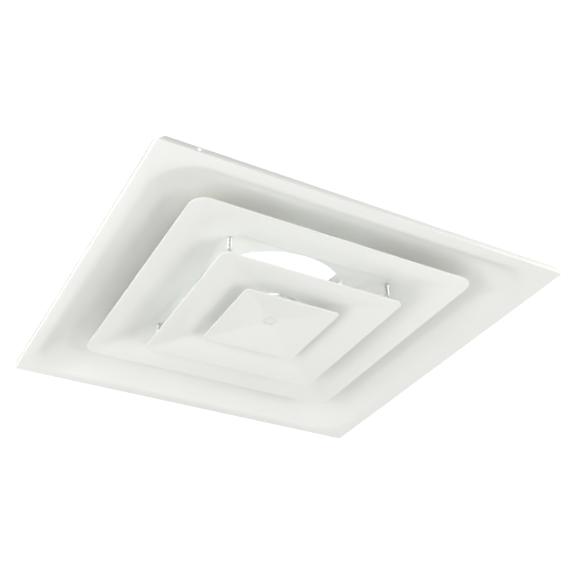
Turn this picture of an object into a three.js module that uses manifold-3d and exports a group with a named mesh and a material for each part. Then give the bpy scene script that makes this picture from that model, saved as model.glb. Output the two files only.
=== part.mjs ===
// Square lay-in ceiling diffuser with three stepped cones and a round duct neck.
//
// Millimetres, +Z up, towards the duct. -Y is called the front. Heights below are measured from
// the face plane, which is the underside of the flat border that rests on the ceiling grid; the
// last step lifts the finished part, so that the origin lies in the plane of its lowest lip.
//
// The back pan carries the duct collar and, on four spot-welded hangers, the outer cone. The
// middle and centre cones are one face assembly, which hangs from the outer cone on four
// extension springs, hooked to tabs on its back, and pulls down against them. A push-in plug
// closes the tool hole in the centre cone.

import * as THREE from 'three';
import Module from 'manifold-3d';
import { mergeVertices } from 'three/addons/utils/BufferGeometryUtils.js';

const wasm = await Module();
wasm.setup();

// ---- driving dimensions ----

const FACE_WIDTH = 603.25;          // outside width of the lay-in face
const SHEET = 0.8;                  // steel sheet of the pan, cones and collar
const GAP = 0.3;                    // air left between pieces that are welded or clipped together
const CORNER_STEPS = 8;             // straight steps in each quarter circle

const FLANGE_HEIGHT = 7.6;          // edge flange turned up around the border
const FOLD_RADIUS = 2;              // outside radius of that fold
const FLANGE_HOLE_RADIUS = 2.4;
const FLANGE_HOLE_FROM_CORNER = 53;
const FLANGE_HOLE_HEIGHT = 4.4;

const NECK_OUTER_RADIUS = 125.4;    // collar for a 250 mm (10 in) round duct
const NECK_TOP = 132.5;
const COLLAR_BOTTOM = 82;
const BEAD_HEIGHT = 112;            // centre of the rolled bead on the collar
const BEAD_DEPTH = 1.8;
const BEAD_HALF_WIDTH = 3;

const HEM_WIDTH = 6;                // safety hem folded back on each cone's rim
const HEM_THICKNESS = 2;

const SPRING_OFFSET = 127;          // springs stand at (+-127, +-127)
const SPRING_COIL_RADIUS = 2.9;     // to the middle of the wire
const SPRING_WIRE_RADIUS = 0.55;
const SPRING_TURNS = 5;
const SPRING_BOTTOM = 8.3;          // wire centre of the bent ends and ends of the coil
const SPRING_COIL_BOTTOM = 13.3;
const SPRING_COIL_TOP = 31.2;
const SPRING_TOP = 37;
const SPRING_FOOT = 5;              // length of the bent ends
const SPRING_HOLE_RADIUS = 3.8;
const SPRING_HOLE_Z = 34.6;

const TAB_WIDTH = 9;                // tabs on the middle cone's back that the springs hook into
const TAB_TOP = 11.3;
const TAB_FOOT = 11;
const TAB_FROM_SPRING = 2.5;        // from the spring's axis to the middle of the tab's web
const TAB_HOLE_RADIUS = 1.2;
const TAB_DRILL_LENGTH = 6;

const HANGER_THICKNESS = 1.2;
const PAN_HANGER_WIDTH = 19;
const PAN_HANGER_FOOT = 19;
const PAN_HANGER_WEB_AT = 170;      // distances from the axis
const HANGER_RIVET_AT = 160;
const CONE_HANGER_WIDTH = 13;
const CONE_HANGER_WEB_AT = 43;
const CONE_HANGER_OUTER_FOOT = 66;
const CONE_HANGER_OUTER_LENGTH = 18;  // of the foot on the middle cone
const CONE_HANGER_INNER_LENGTH = 17;  // of the foot on the centre cone
const CONE_HANGER_SHOULDER = 8;       // of the flat top over the throat's edge
const CONE_HANGER_TOP = 28;

const RIVET_SHANK_RADIUS = 1.6;
const RIVET_HOLE_RADIUS = 1.9;
const RIVET_HEAD_RADIUS = 3.3;
const RIVET_HEAD_HEIGHT = 1.1;
const RIVET_TAIL_RADIUS = 2.5;
const RIVET_TAIL_HEIGHT = 1.3;
const COLLAR_RIVET_HEIGHT = 88.5;

const PLUG_HOLE_RADIUS = 8.3;
const PLUG_HEAD_RADIUS = 9.6;
const PLUG_HEAD_HEIGHT = 1.4;
const PLUG_STEM_LENGTH = 6;
const PLUG_WALL = 1.2;

// Undersides of the sheets, from the rim to the throat. Each section is a rounded square, given
// by half its width, its corner radius and its height; a round section is all corner.
const round = (radius, z) => ({ half: radius, corner: radius, z });
const square = (half, corner, z) => ({ half, corner, z });

const PAN_SECTIONS = [
  square(FACE_WIDTH / 2 - FOLD_RADIUS, 1.5, 0),
  square(281, 58, 0),
  square(272, 62, 6),
  square(258, 70, 17),
  square(240, 84, 27.7),
  square(215, 105, 36),
  square(150, 118, 57.7),
  square(138, 126, 64),
  round(130.5, 71),
  round(NECK_OUTER_RADIUS + GAP, 79),
  round(NECK_OUTER_RADIUS + GAP, 95),
];
const OUTER_CONE_SECTIONS = [
  square(216.7, 22, 11.3),
  square(188.2, 11, 14.9),
  square(140, 20, 31.4),
  square(131, 50, 38.3),
  square(121.5, 88, 45.7),
  round(112, 53),
];
const MIDDLE_CONE_SECTIONS = [
  square(143.2, 12, -4.4),
  square(118.5, 8, -1.1),
  square(61, 14, 16.4),
  square(54, 34, 19.4),
  round(47, 24.4),
];
const CENTRE_CONE_SECTIONS = [
  square(76.3, 6, -4.3),
  square(20, 4, 4.4),
  round(14, 5.3),
  round(PLUG_HOLE_RADIUS, 5.3),
];

// Two neighbouring sections that bound a stretch of straight slope on each side of a sheet.
const PAN_SLOPE = { low: PAN_SECTIONS[5], high: PAN_SECTIONS[6] };
const OUTER_SLOPE = { low: OUTER_CONE_SECTIONS[1], high: OUTER_CONE_SECTIONS[2] };
const MIDDLE_SLOPE = { low: MIDDLE_CONE_SECTIONS[1], high: MIDDLE_CONE_SECTIONS[2] };
const CENTRE_SLOPE = { low: CENTRE_CONE_SECTIONS[0], high: CENTRE_CONE_SECTIONS[1] };

// The middle cone's lip along its diagonals, where a section's reach takes the place of its half
// width.
const onDiagonal = ({ half, corner, z }) => ({ half: (half - corner) * Math.SQRT2 + corner, z });
const MIDDLE_RIDGE = {
  low: onDiagonal(MIDDLE_CONE_SECTIONS[0]),
  high: onDiagonal(MIDDLE_CONE_SECTIONS[1]),
};

// A slope's height at a distance from the axis, its tilt and its upward normal on the front side.
const heightOn = ({ low, high }, half) => THREE.MathUtils.mapLinear(
  half,
  low.half,
  high.half,
  low.z,
  high.z,
);
const tiltOf = ({ low, high }) => Math.atan2(high.z - low.z, low.half - high.half);
const frontNormal = (slope) => new THREE.Vector3(0, -Math.sin(tiltOf(slope)), Math.cos(tiltOf(slope)));

// The four sides and the four corners, as turns about +Z from the front and from front-left.
const SIDES = ['front', 'right', 'back', 'left'];
const CORNERS = ['front_left', 'front_right', 'back_right', 'back_left'];
const quarterTurns = (index) => (index * Math.PI) / 2;

// ---- materials ----

// The hangers and spring tabs are welded on before the cones are coated, so they are white too.
const white = { color: 0xedefec, roughness: 0.42, metalness: 0.0 };
const zinc = { color: 0xb9bcbc, roughness: 0.38, metalness: 0.9 };
const springSteel = { color: 0xc9cbcc, roughness: 0.25, metalness: 1.0 };
const whitePlastic = { color: 0xf0f0ee, roughness: 0.5, metalness: 0.0 };

const model = new THREE.Group();

function addPart(name, geometry, look) {
  const mesh = new THREE.Mesh(geometry, new THREE.MeshStandardMaterial(look));
  mesh.name = name;
  model.add(mesh);
  return mesh;
}

// ---- joining and cutting ----

const MERGE_DISTANCE = 1e-4;

function toManifold(geometry) {
  const bare = geometry.clone();
  bare.deleteAttribute('normal');
  bare.deleteAttribute('uv');
  const merged = mergeVertices(bare, MERGE_DISTANCE);
  return new wasm.Manifold(new wasm.Mesh({
    numProp: 3,
    vertProperties: Float32Array.from(merged.attributes.position.array),
    triVerts: Uint32Array.from(merged.index.array),
  }));
}

function toGeometry(manifold) {
  const mesh = manifold.getMesh();
  const geometry = new THREE.BufferGeometry();
  geometry.setAttribute('position', new THREE.BufferAttribute(mesh.vertProperties, 3));
  geometry.setIndex(new THREE.BufferAttribute(mesh.triVerts, 1));
  geometry.computeVertexNormals();
  return geometry;
}

function joined(geometry, additions) {
  const body = additions.reduce((sum, extra) => sum.add(toManifold(extra)), toManifold(geometry));
  return toGeometry(body);
}

function drilled(geometry, drills) {
  const body = drills.reduce((rest, drill) => rest.subtract(toManifold(drill)), toManifold(geometry));
  return toGeometry(body);
}

// A round cutter of the given radius, centred on a point, with its axis along a direction.
function drill(radius, centre, direction, length = 12) {
  const cutter = new THREE.CylinderGeometry(radius, radius, length, 16);
  const turn = new THREE.Quaternion().setFromUnitVectors(
    new THREE.Vector3(0, 1, 0),
    direction.clone().normalize(),
  );
  return cutter.applyQuaternion(turn).translate(centre.x, centre.y, centre.z);
}

// ---- sheet metal ----

// The points of one rounded square section, anticlockwise seen from above.
function sectionRing({ half, corner, z }) {
  const ring = [];
  for (let quarter = 0; quarter < 4; quarter += 1) {
    const diagonal = quarterTurns(quarter) + Math.PI / 4;
    const reach = (half - corner) * Math.SQRT2;
    for (let step = 0; step <= CORNER_STEPS; step += 1) {
      const angle = quarterTurns(quarter) + (step / CORNER_STEPS) * (Math.PI / 2);
      ring.push(new THREE.Vector3(
        reach * Math.cos(diagonal) + corner * Math.cos(angle),
        reach * Math.sin(diagonal) + corner * Math.sin(angle),
        z,
      ));
    }
  }
  return ring;
}

// A closed skin through a loop of sections, the last joined back to the first. Where a round
// section has no straight side, two of its points meet, and the empty triangles are left out.
function loft(sections) {
  const rings = sections.map(sectionRing);
  const count = rings[0].length;
  const positions = rings.flat().flatMap((point) => point.toArray());
  const index = [];
  rings.forEach((ring, i) => {
    const here = i * count;
    const next = ((i + 1) % rings.length) * count;
    for (let k = 0; k < count; k += 1) {
      const along = (k + 1) % count;
      index.push(here + k, next + along, here + along);
      index.push(here + k, next + k, next + along);
    }
  });
  const geometry = new THREE.BufferGeometry();
  geometry.setAttribute('position', new THREE.Float32BufferAttribute(positions, 3));
  geometry.setIndex(index);
  return withoutEmptyTriangles(mergeVertices(geometry, MERGE_DISTANCE));
}

function withoutEmptyTriangles(geometry) {
  const corners = Array.from(geometry.index.array);
  const kept = [];
  for (let i = 0; i < corners.length; i += 3) {
    const triangle = corners.slice(i, i + 3);
    if (new Set(triangle).size === 3) {
      kept.push(...triangle);
    }
  }
  return geometry.setIndex(kept);
}

// The same sections moved a distance along the sheet's upper normal.
function offsetSections(sections, distance) {
  return sections.map((section, i) => {
    const before = sections[Math.max(i - 1, 0)];
    const after = sections[Math.min(i + 1, sections.length - 1)];
    const unit = (from, to) => new THREE.Vector2(to.half - from.half, to.z - from.z).normalize();
    const tangentIn = i === 0 ? unit(section, after) : unit(before, section);
    const tangentOut = i === sections.length - 1 ? tangentIn : unit(section, after);
    const tangent = tangentIn.clone().add(tangentOut).normalize();
    const normal = new THREE.Vector2(tangent.y, -tangent.x);
    const mitre = distance / Math.max(tangent.dot(tangentIn), 0.5);
    return {
      half: section.half + normal.x * mitre,
      corner: section.corner + normal.x * mitre,
      z: section.z + normal.y * mitre,
    };
  });
}

function sheetLoop(sections) {
  return [...sections, ...offsetSections(sections, SHEET).reverse()];
}

// A cone's loop, with its rim folded back on itself as a flat hem.
function hemmedLoop(sections) {
  const [rim, lip] = sections;
  const upper = offsetSections(sections, SHEET);
  const rise = (lip.z - rim.z) / (rim.half - lip.half);
  const hemInside = rim.half - HEM_WIDTH;
  const hem = [
    square(hemInside, rim.corner - HEM_WIDTH, rim.z + HEM_WIDTH * rise + SHEET),
    square(hemInside, rim.corner - HEM_WIDTH, rim.z + HEM_WIDTH * rise + HEM_THICKNESS),
    square(rim.half, rim.corner, rim.z + HEM_THICKNESS),
  ];
  return [...sections, ...upper.slice(1).reverse(), ...hem];
}

// A side-view outline in (outward, up) coordinates, extruded evenly about the front centreline.
function frontExtrusion(outline, width, curveSegments = 4) {
  const geometry = new THREE.ExtrudeGeometry(outline, {
    depth: width,
    bevelEnabled: false,
    curveSegments,
  });
  const outward = new THREE.Vector3(0, -1, 0);
  const up = new THREE.Vector3(0, 0, 1);
  const across = new THREE.Vector3(-1, 0, 0);
  return geometry.translate(0, 0, -width / 2)
    .applyMatrix4(new THREE.Matrix4().makeBasis(outward, up, across));
}

// A bent strip seen from the side: its lower face follows the path, which runs inwards, and its
// thickness is on the right of the way the path runs.
function strip(path, width) {
  const directions = path.slice(1).map((point, i) => point.clone().sub(path[i]).normalize());
  const upperFace = path.map((point, i) => {
    const before = directions[Math.max(i - 1, 0)];
    const after = directions[Math.min(i, directions.length - 1)];
    const middle = before.clone().add(after).normalize();
    const normal = new THREE.Vector2(middle.y, -middle.x);
    return point.clone().addScaledVector(normal, HANGER_THICKNESS / middle.dot(before));
  });
  return frontExtrusion(new THREE.Shape([...path, ...upperFace.reverse()]), width);
}

// ---- back pan ----

// One side of the turned-up flange, along the front, with its ends mitred at 45 degrees.
function flangeSide() {
  const edge = FACE_WIDTH / 2;
  const foldAt = edge - FOLD_RADIUS;
  const lap = 1;
  const outline = new THREE.Shape();
  outline.moveTo(foldAt - lap, 0);
  outline.lineTo(foldAt, 0);
  outline.absarc(foldAt, FOLD_RADIUS, FOLD_RADIUS, -Math.PI / 2, 0, false);
  outline.lineTo(edge, FLANGE_HEIGHT);
  outline.lineTo(edge - SHEET, FLANGE_HEIGHT);
  outline.lineTo(edge - SHEET, FOLD_RADIUS);
  outline.absarc(foldAt, FOLD_RADIUS, FOLD_RADIUS - SHEET, 0, -Math.PI / 2, true);
  outline.lineTo(foldAt - lap, SHEET);
  const geometry = frontExtrusion(outline, 2 * foldAt);
  const position = geometry.attributes.position;
  for (let i = 0; i < position.count; i += 1) {
    position.setX(i, Math.sign(position.getX(i)) * (foldAt - position.getZ(i)));
  }
  return geometry;
}

// The collar rivets go through the pan's short neck and the collar at the four corners.
const collarRivets = CORNERS.map((name, index) => {
  const angle = quarterTurns(index) - (3 * Math.PI) / 4;
  return { name, direction: new THREE.Vector3(Math.cos(angle), Math.sin(angle), 0) };
});

const collarDrills = () => collarRivets.map(({ direction }) => drill(
  RIVET_HOLE_RADIUS,
  direction.clone().multiplyScalar(NECK_OUTER_RADIUS).setZ(COLLAR_RIVET_HEIGHT),
  direction,
));

// The hanger rivets go through the pan's straight slope and a hanger's upper foot.
const hangerRivetPoint = new THREE.Vector3(0, -HANGER_RIVET_AT, heightOn(PAN_SLOPE, HANGER_RIVET_AT));
const hangerDrill = () => drill(RIVET_HOLE_RADIUS, hangerRivetPoint, frontNormal(PAN_SLOPE));

function backPan() {
  const shell = loft(sheetLoop(PAN_SECTIONS));
  const flanges = SIDES.map((side, index) => flangeSide().rotateZ(quarterTurns(index)));
  const flangeHole = new THREE.Vector3(
    -FACE_WIDTH / 2 + FLANGE_HOLE_FROM_CORNER,
    -FACE_WIDTH / 2,
    FLANGE_HOLE_HEIGHT,
  );
  const sideDrills = SIDES.flatMap((side, index) => [
    drill(FLANGE_HOLE_RADIUS, flangeHole, new THREE.Vector3(0, 1, 0)),
    hangerDrill(),
  ].map((cutter) => cutter.rotateZ(quarterTurns(index))));
  return drilled(joined(shell, flanges), [...sideDrills, ...collarDrills()]);
}

addPart('back_pan', backPan(), white);

// ---- duct collar ----

function ductCollar() {
  const inner = NECK_OUTER_RADIUS - SHEET;
  const beadPoint = (share, radius) => new THREE.Vector2(
    radius + (BEAD_DEPTH / 2) * (1 + Math.cos(share * Math.PI)),
    BEAD_HEIGHT + share * BEAD_HALF_WIDTH,
  );
  const shares = [-1, -0.5, 0, 0.5, 1];
  const outline = [
    new THREE.Vector2(NECK_OUTER_RADIUS, COLLAR_BOTTOM),
    ...shares.map((share) => beadPoint(share, NECK_OUTER_RADIUS)),
    new THREE.Vector2(NECK_OUTER_RADIUS, NECK_TOP),
    new THREE.Vector2(inner, NECK_TOP),
    ...shares.map((share) => beadPoint(-share, inner)),
    new THREE.Vector2(inner, COLLAR_BOTTOM),
    new THREE.Vector2(NECK_OUTER_RADIUS, COLLAR_BOTTOM),
  ];
  const ring = new THREE.LatheGeometry(outline, 4 * CORNER_STEPS).rotateX(Math.PI / 2);
  return drilled(ring, collarDrills());
}

addPart('duct_collar', ductCollar(), zinc);

// ---- rivets ----

// A blind rivet with its axis along +Y, the seat of its domed head at the origin and its tail
// formed beyond a stack of the given thickness.
function rivet(stack) {
  const outline = [
    new THREE.Vector2(0, -stack - RIVET_TAIL_HEIGHT),
    new THREE.Vector2(RIVET_TAIL_RADIUS * 0.8, -stack - RIVET_TAIL_HEIGHT),
    new THREE.Vector2(RIVET_TAIL_RADIUS, -stack - RIVET_TAIL_HEIGHT / 2),
    new THREE.Vector2(RIVET_TAIL_RADIUS, -stack),
    new THREE.Vector2(RIVET_SHANK_RADIUS, -stack),
    new THREE.Vector2(RIVET_SHANK_RADIUS, 0),
    new THREE.Vector2(RIVET_HEAD_RADIUS, 0),
    new THREE.Vector2(RIVET_HEAD_RADIUS * 0.85, RIVET_HEAD_HEIGHT * 0.6),
    new THREE.Vector2(RIVET_HEAD_RADIUS * 0.5, RIVET_HEAD_HEIGHT * 0.92),
    new THREE.Vector2(0, RIVET_HEAD_HEIGHT),
  ];
  return new THREE.LatheGeometry(outline, 8);
}

function placeRivet(name, stack, seat, direction) {
  const mesh = addPart(name, rivet(stack), zinc);
  mesh.position.copy(seat);
  mesh.quaternion.setFromUnitVectors(new THREE.Vector3(0, 1, 0), direction);
}

// Under a rivet's head, between the sheets and above its tail.
const RIVET_CLEARANCE = GAP / 2;

collarRivets.forEach(({ name, direction }) => {
  const seatRadius = NECK_OUTER_RADIUS + GAP + SHEET + RIVET_CLEARANCE;
  const stack = 2 * SHEET + GAP + 3 * RIVET_CLEARANCE;
  const seat = direction.clone().multiplyScalar(seatRadius).setZ(COLLAR_RIVET_HEIGHT);
  placeRivet(`collar_rivet_${name}`, stack, seat, direction);
});

SIDES.forEach((side, index) => {
  const direction = frontNormal(PAN_SLOPE);
  const seat = hangerRivetPoint.clone().addScaledVector(direction, SHEET + RIVET_CLEARANCE);
  const stack = SHEET + GAP + HANGER_THICKNESS + 3 * RIVET_CLEARANCE;
  const turn = new THREE.Matrix4().makeRotationZ(quarterTurns(index));
  placeRivet(
    `hanger_rivet_${side}`,
    stack,
    seat.applyMatrix4(turn),
    direction.transformDirection(turn),
  );
});

// ---- outer cone and its hangers ----

// The springs' upper ends go up through a hole in each corner of the outer cone.
const springDrills = CORNERS.map((name, index) => drill(
  SPRING_HOLE_RADIUS,
  new THREE.Vector3(-SPRING_OFFSET, -SPRING_OFFSET, SPRING_HOLE_Z),
  new THREE.Vector3(0, 0, 1),
).rotateZ(quarterTurns(index)));

addPart('outer_cone', drilled(loft(hemmedLoop(OUTER_CONE_SECTIONS)), springDrills), white);

// A Z-shaped hanger between two parallel slopes: its lower foot lies on the outer cone, its web
// stands square to the slopes and its upper foot lies under the pan.
function panHanger() {
  const tilt = tiltOf(PAN_SLOPE);
  const inward = new THREE.Vector2(-Math.cos(tilt), Math.sin(tilt));
  const normal = new THREE.Vector2(Math.sin(tilt), Math.cos(tilt));
  const coneTop = heightOn(OUTER_SLOPE, PAN_HANGER_WEB_AT) + (SHEET + GAP) / Math.cos(tilt);
  const panUnder = heightOn(PAN_SLOPE, PAN_HANGER_WEB_AT) - GAP / Math.cos(tilt);
  const height = (panUnder - coneTop) * Math.cos(tilt) - HANGER_THICKNESS;
  const start = new THREE.Vector2(PAN_HANGER_WEB_AT, coneTop);
  const at = (along, up) => start.clone().addScaledVector(inward, along).addScaledVector(normal, up);
  const path = [at(-PAN_HANGER_FOOT, 0), at(0, 0), at(0, height), at(PAN_HANGER_FOOT, height)];
  return drilled(strip(path, PAN_HANGER_WIDTH), [hangerDrill()]);
}

SIDES.forEach((side, index) => {
  addPart(`pan_hanger_${side}`, panHanger().rotateZ(quarterTurns(index)), white);
});

// ---- middle and centre cones, their spring tabs and the hangers between them ----

addPart('middle_cone', loft(hemmedLoop(MIDDLE_CONE_SECTIONS)), white);
addPart('centre_cone', loft(hemmedLoop(CENTRE_CONE_SECTIONS)), white);

// An L-shaped tab on the front: its foot lies inwards along the lip's diagonal and its web stands
// up beside the spring, with a hole for the spring's lower end.
function springTab() {
  const springAt = SPRING_OFFSET * Math.SQRT2;
  const webFace = springAt - TAB_FROM_SPRING + HANGER_THICKNESS / 2;
  const footEnd = webFace - TAB_FOOT;
  const onLip = (at) => new THREE.Vector2(
    at,
    heightOn(MIDDLE_RIDGE, at) + (SHEET + GAP) / Math.cos(tiltOf(MIDDLE_RIDGE)),
  );
  const path = [new THREE.Vector2(webFace, TAB_TOP), onLip(webFace), onLip(footEnd)];
  const hole = new THREE.Vector3(0, TAB_FROM_SPRING - springAt, SPRING_BOTTOM);
  const outward = new THREE.Vector3(0, 1, 0);
  const holeDrill = drill(TAB_HOLE_RADIUS, hole, outward, TAB_DRILL_LENGTH);
  return drilled(strip(path, TAB_WIDTH), [holeDrill]);
}

CORNERS.forEach((corner, index) => {
  const toFrontLeft = -Math.PI / 4;
  addPart(`spring_tab_${corner}`, springTab().rotateZ(toFrontLeft + quarterTurns(index)), white);
});

// A hooked hanger: its outer foot lies on the middle cone's slope, it passes over the throat and
// down inside it, and its inner foot lies on the centre cone.
function coneHanger() {
  const onCone = (slope, half) => new THREE.Vector2(
    half,
    heightOn(slope, half) + (SHEET + GAP) / Math.cos(tiltOf(slope)),
  );
  const path = [
    onCone(MIDDLE_SLOPE, CONE_HANGER_OUTER_FOOT + CONE_HANGER_OUTER_LENGTH),
    onCone(MIDDLE_SLOPE, CONE_HANGER_OUTER_FOOT),
    new THREE.Vector2(CONE_HANGER_WEB_AT + CONE_HANGER_SHOULDER, CONE_HANGER_TOP),
    new THREE.Vector2(CONE_HANGER_WEB_AT, CONE_HANGER_TOP),
    onCone(CENTRE_SLOPE, CONE_HANGER_WEB_AT),
    onCone(CENTRE_SLOPE, CONE_HANGER_WEB_AT - CONE_HANGER_INNER_LENGTH),
  ];
  return strip(path, CONE_HANGER_WIDTH);
}

SIDES.forEach((side, index) => {
  addPart(`cone_hanger_${side}`, coneHanger().rotateZ(quarterTurns(index)), white);
});

// ---- springs ----

// An extension spring standing on the origin's axis, its wire bent over at both ends: inwards
// (+X) through the middle cone's tab and outwards (-X) above the outer cone.
function spring() {
  const points = [
    new THREE.Vector3(SPRING_FOOT, 0, SPRING_BOTTOM),
    new THREE.Vector3(SPRING_FOOT / 4, 0, SPRING_BOTTOM),
    new THREE.Vector3(0, 0, SPRING_BOTTOM + 1.2),
    new THREE.Vector3(0, 0, SPRING_COIL_BOTTOM - 1.5),
  ];
  const stepsPerTurn = 8;
  const steps = SPRING_TURNS * stepsPerTurn;
  for (let step = 0; step <= steps; step += 1) {
    const angle = (step / stepsPerTurn) * 2 * Math.PI;
    points.push(new THREE.Vector3(
      SPRING_COIL_RADIUS * Math.cos(angle),
      SPRING_COIL_RADIUS * Math.sin(angle),
      THREE.MathUtils.lerp(SPRING_COIL_BOTTOM, SPRING_COIL_TOP, step / steps),
    ));
  }
  points.push(
    new THREE.Vector3(0, 0, SPRING_COIL_TOP + 1.5),
    new THREE.Vector3(0, 0, SPRING_TOP - 1.2),
    new THREE.Vector3(-SPRING_FOOT / 4, 0, SPRING_TOP),
    new THREE.Vector3(-SPRING_FOOT, 0, SPRING_TOP),
  );
  const wire = new THREE.Shape();
  wire.absarc(0, 0, SPRING_WIRE_RADIUS, 0, 2 * Math.PI, false);
  return new THREE.ExtrudeGeometry(wire, {
    steps: points.length - 1,
    curveSegments: 3,
    bevelEnabled: false,
    extrudePath: new THREE.CatmullRomCurve3(points),
  });
}

CORNERS.forEach((corner, index) => {
  const inward = Math.PI / 4;
  const geometry = spring().rotateZ(inward)
    .translate(-SPRING_OFFSET, -SPRING_OFFSET, 0)
    .rotateZ(quarterTurns(index));
  addPart(`spring_${corner}`, geometry, springSteel);
});

// ---- access plug ----

// A push-in cap: a shallow domed head under the centre cone and a hollow stem, open at the top.
function accessPlug() {
  const seat = CENTRE_CONE_SECTIONS.at(-1).z - GAP;
  const stem = PLUG_HOLE_RADIUS - GAP;
  const outline = [
    new THREE.Vector2(0, seat - PLUG_HEAD_HEIGHT),
    new THREE.Vector2(PLUG_HEAD_RADIUS * 0.6, seat - PLUG_HEAD_HEIGHT * 0.92),
    new THREE.Vector2(PLUG_HEAD_RADIUS * 0.93, seat - PLUG_HEAD_HEIGHT * 0.55),
    new THREE.Vector2(PLUG_HEAD_RADIUS, seat),
    new THREE.Vector2(stem, seat),
    new THREE.Vector2(stem, seat + PLUG_STEM_LENGTH),
    new THREE.Vector2(stem - PLUG_WALL, seat + PLUG_STEM_LENGTH),
    new THREE.Vector2(stem - PLUG_WALL, seat),
    new THREE.Vector2(0, seat),
  ];
  return new THREE.LatheGeometry(outline, 20).rotateX(Math.PI / 2);
}

addPart('access_plug', accessPlug(), whitePlastic);

// ---- origin ----

const lowestLip = MIDDLE_CONE_SECTIONS[0].z;
model.children.forEach((mesh) => {
  mesh.position.z -= lowestLip;
});

export default model;
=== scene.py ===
"""Looks for a square lay-in ceiling diffuser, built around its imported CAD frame.

Every piece is made here in mesh code at the place its CAD node gives, and rides on that node's
body. Outlines are worked out in millimetres and become metres when a mesh is made. -Y is the
front, +Z is up towards the duct, and the face that a room sees looks down.
"""

import math
from collections import namedtuple

import bmesh
import bpy
import numpy as np
from mathutils import Matrix, Quaternion, Vector


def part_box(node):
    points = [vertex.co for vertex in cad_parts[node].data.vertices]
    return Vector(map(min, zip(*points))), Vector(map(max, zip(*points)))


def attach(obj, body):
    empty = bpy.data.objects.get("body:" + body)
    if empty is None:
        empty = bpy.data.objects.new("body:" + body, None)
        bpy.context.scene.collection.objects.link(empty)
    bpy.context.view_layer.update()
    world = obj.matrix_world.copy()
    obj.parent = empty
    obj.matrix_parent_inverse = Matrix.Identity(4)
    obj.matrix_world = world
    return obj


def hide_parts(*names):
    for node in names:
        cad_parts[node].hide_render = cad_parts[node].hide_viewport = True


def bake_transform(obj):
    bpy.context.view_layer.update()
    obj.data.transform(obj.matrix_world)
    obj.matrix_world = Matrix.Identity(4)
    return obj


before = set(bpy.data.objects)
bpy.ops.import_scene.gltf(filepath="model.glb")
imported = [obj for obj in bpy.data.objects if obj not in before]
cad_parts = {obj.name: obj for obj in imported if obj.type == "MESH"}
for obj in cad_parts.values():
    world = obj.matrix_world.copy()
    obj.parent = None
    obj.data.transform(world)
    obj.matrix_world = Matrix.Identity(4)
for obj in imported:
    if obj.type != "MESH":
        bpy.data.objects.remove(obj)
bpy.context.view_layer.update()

MM = 0.001
QUARTER_TURN = math.pi / 2
FULL_TURN = 2 * math.pi

PAN_BODY = "pan_and_outer_cone"
FACE_BODY = "face_assembly"
PLUG_BODY = "access_plug"

SIDES = ("front", "right", "back", "left")
CORNERS = ("front_left", "front_right", "back_right", "back_left")


def box_mm(node):
    """A CAD node's lowest and highest corners, in millimetres."""
    low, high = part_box(node)
    return low / MM, high / MM


# ---- sheet metal sizes, in millimetres ----

SHEET = 0.8
WELD_GAP = 0.3              # between a hanger's foot and the sheet it is welded to
EDGE_BULGE = 0.25           # how far a sheared edge's middle stands proud of its corners
STRAIGHT_STEP = 9.0         # longest step along a straight stretch of a profile
BEND_STEPS = 8              # steps round each bend of a profile
SIDE_STEPS = 16             # steps along each side of a rounded square
CORNER_STEPS = 24           # steps round each corner
SIDE_SHARE = 0.17           # share of a round section's quarter that counts as its side
MOST_EASE = 0.49            # share of a stretch that the bend at either end may take

FLANGE_HEIGHT = 7.6
FLANGE_HOLE_RADIUS = 2.4
FLANGE_HOLE_FROM_CORNER = 53.0
FLANGE_HOLE_HEIGHT = 4.4
FOLD_RADIUS = 2.0
CUT_MARGIN = 1.0            # how far a cutter reaches past the sheet it cuts

HEM_WIDTH = 6.0             # safety hem folded back on each cone's rim
HEM_THICKNESS = 2.0
HEM_STEPS = 8               # steps round the hem's fold
SMALLEST_CORNER = 0.3

# A profile runs up a sheet's underside from its rim to its throat. Each bend is a rounded square:
# how far it is inset from the rim, how far it rises above it, its corner radius, where ROUND
# means a full circle, and how far to each side the bend is eased.
Bend = namedtuple("Bend", "inset rise corner ease")
ROUND = None

PAN_PROFILE = (
    Bend(0.0, FLANGE_HEIGHT, 2.0, 0.0),
    Bend(0.0, 0.0, 2.0, FOLD_RADIUS),
    Bend(20.6, 0.0, 58.0, 7.0),
    Bend(29.6, 6.0, 62.0, 6.0),
    Bend(43.6, 17.0, 70.0, 9.0),
    Bend(61.6, 27.7, 84.0, 11.0),
    Bend(86.6, 36.0, 105.0, 14.0),
    Bend(151.6, 57.7, 118.0, 7.0),
    Bend(163.6, 64.0, 126.0, 5.0),
    Bend(171.1, 71.0, ROUND, 4.0),
    Bend(175.9, 79.0, ROUND, 4.0),
    Bend(175.9, 95.0, ROUND, 0.0),
)
OUTER_CONE_PROFILE = (
    Bend(0.0, 0.0, 22.0, 0.0),
    Bend(28.5, 3.6, 11.0, 5.0),
    Bend(76.7, 20.1, 20.0, 9.0),
    Bend(85.7, 27.0, 50.0, 4.0),
    Bend(95.2, 34.4, 88.0, 4.0),
    Bend(104.7, 41.7, ROUND, 0.0),
)
MIDDLE_CONE_PROFILE = (
    Bend(0.0, 0.0, 12.0, 0.0),
    Bend(24.7, 3.3, 8.0, 5.0),
    Bend(82.2, 20.8, 14.0, 4.0),
    Bend(89.2, 23.8, 34.0, 3.5),
    Bend(96.2, 28.8, ROUND, 0.0),
)
CENTRE_CONE_PROFILE = (
    Bend(0.0, 0.0, 6.0, 0.0),
    Bend(56.3, 8.7, 4.0, 3.0),
    Bend(62.3, 9.6, ROUND, 2.0),
    Bend(68.0, 9.6, ROUND, 0.0),
)


def placed_profile(profile, rim_half, rim_z):
    """A profile as rows of half width, corner radius and height, with each bend's ease."""
    rows = []
    for bend in profile:
        half = rim_half - bend.inset
        corner = half if bend.corner is ROUND else bend.corner
        rows.append((half, corner, rim_z + bend.rise))
    return np.array(rows), [bend.ease for bend in profile]


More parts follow.
